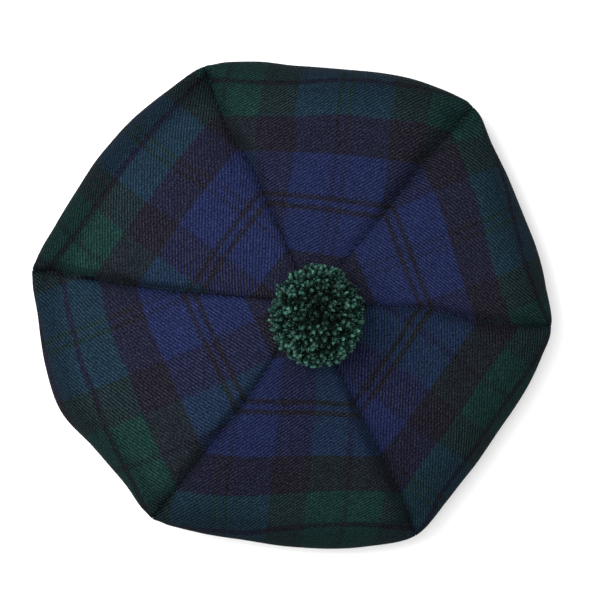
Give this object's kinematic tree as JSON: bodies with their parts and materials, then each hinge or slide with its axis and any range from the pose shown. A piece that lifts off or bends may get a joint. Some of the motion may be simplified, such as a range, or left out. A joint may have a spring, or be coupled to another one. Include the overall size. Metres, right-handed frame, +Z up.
{
  "type": "tam o' shanter hat",
  "caption": "Soft, flat tartan cap: a wide crown of cloth gores that folds over at its edge, a doubled headband and a wool pompom at the middle.",
  "frame": {"origin": "the middle of the hat's footprint, on the surface that it lies on", "axes": "+Z up, +X along the crown's longest way across, +Y towards the top of the hat as it is looked down on"},
  "size_m": [0.2798, 0.262, 0.0948],
  "materials": {
    "crown_cloth": "brushed wool twill in a dark blue, green and black tartan",
    "band_cloth": "the same wool twill, doubled and stitched",
    "pompom_yarn": "cut ends of thick dark green wool yarn"
  },
  "bodies": {
    "root": {"gore_1": "crown_cloth", "gore_2": "crown_cloth", "gore_3": "crown_cloth", "gore_4": "crown_cloth", "gore_5": "crown_cloth", "gore_6": "crown_cloth", "headband": "band_cloth", "pompom": "pompom_yarn"}
  },
  "joints": []
}
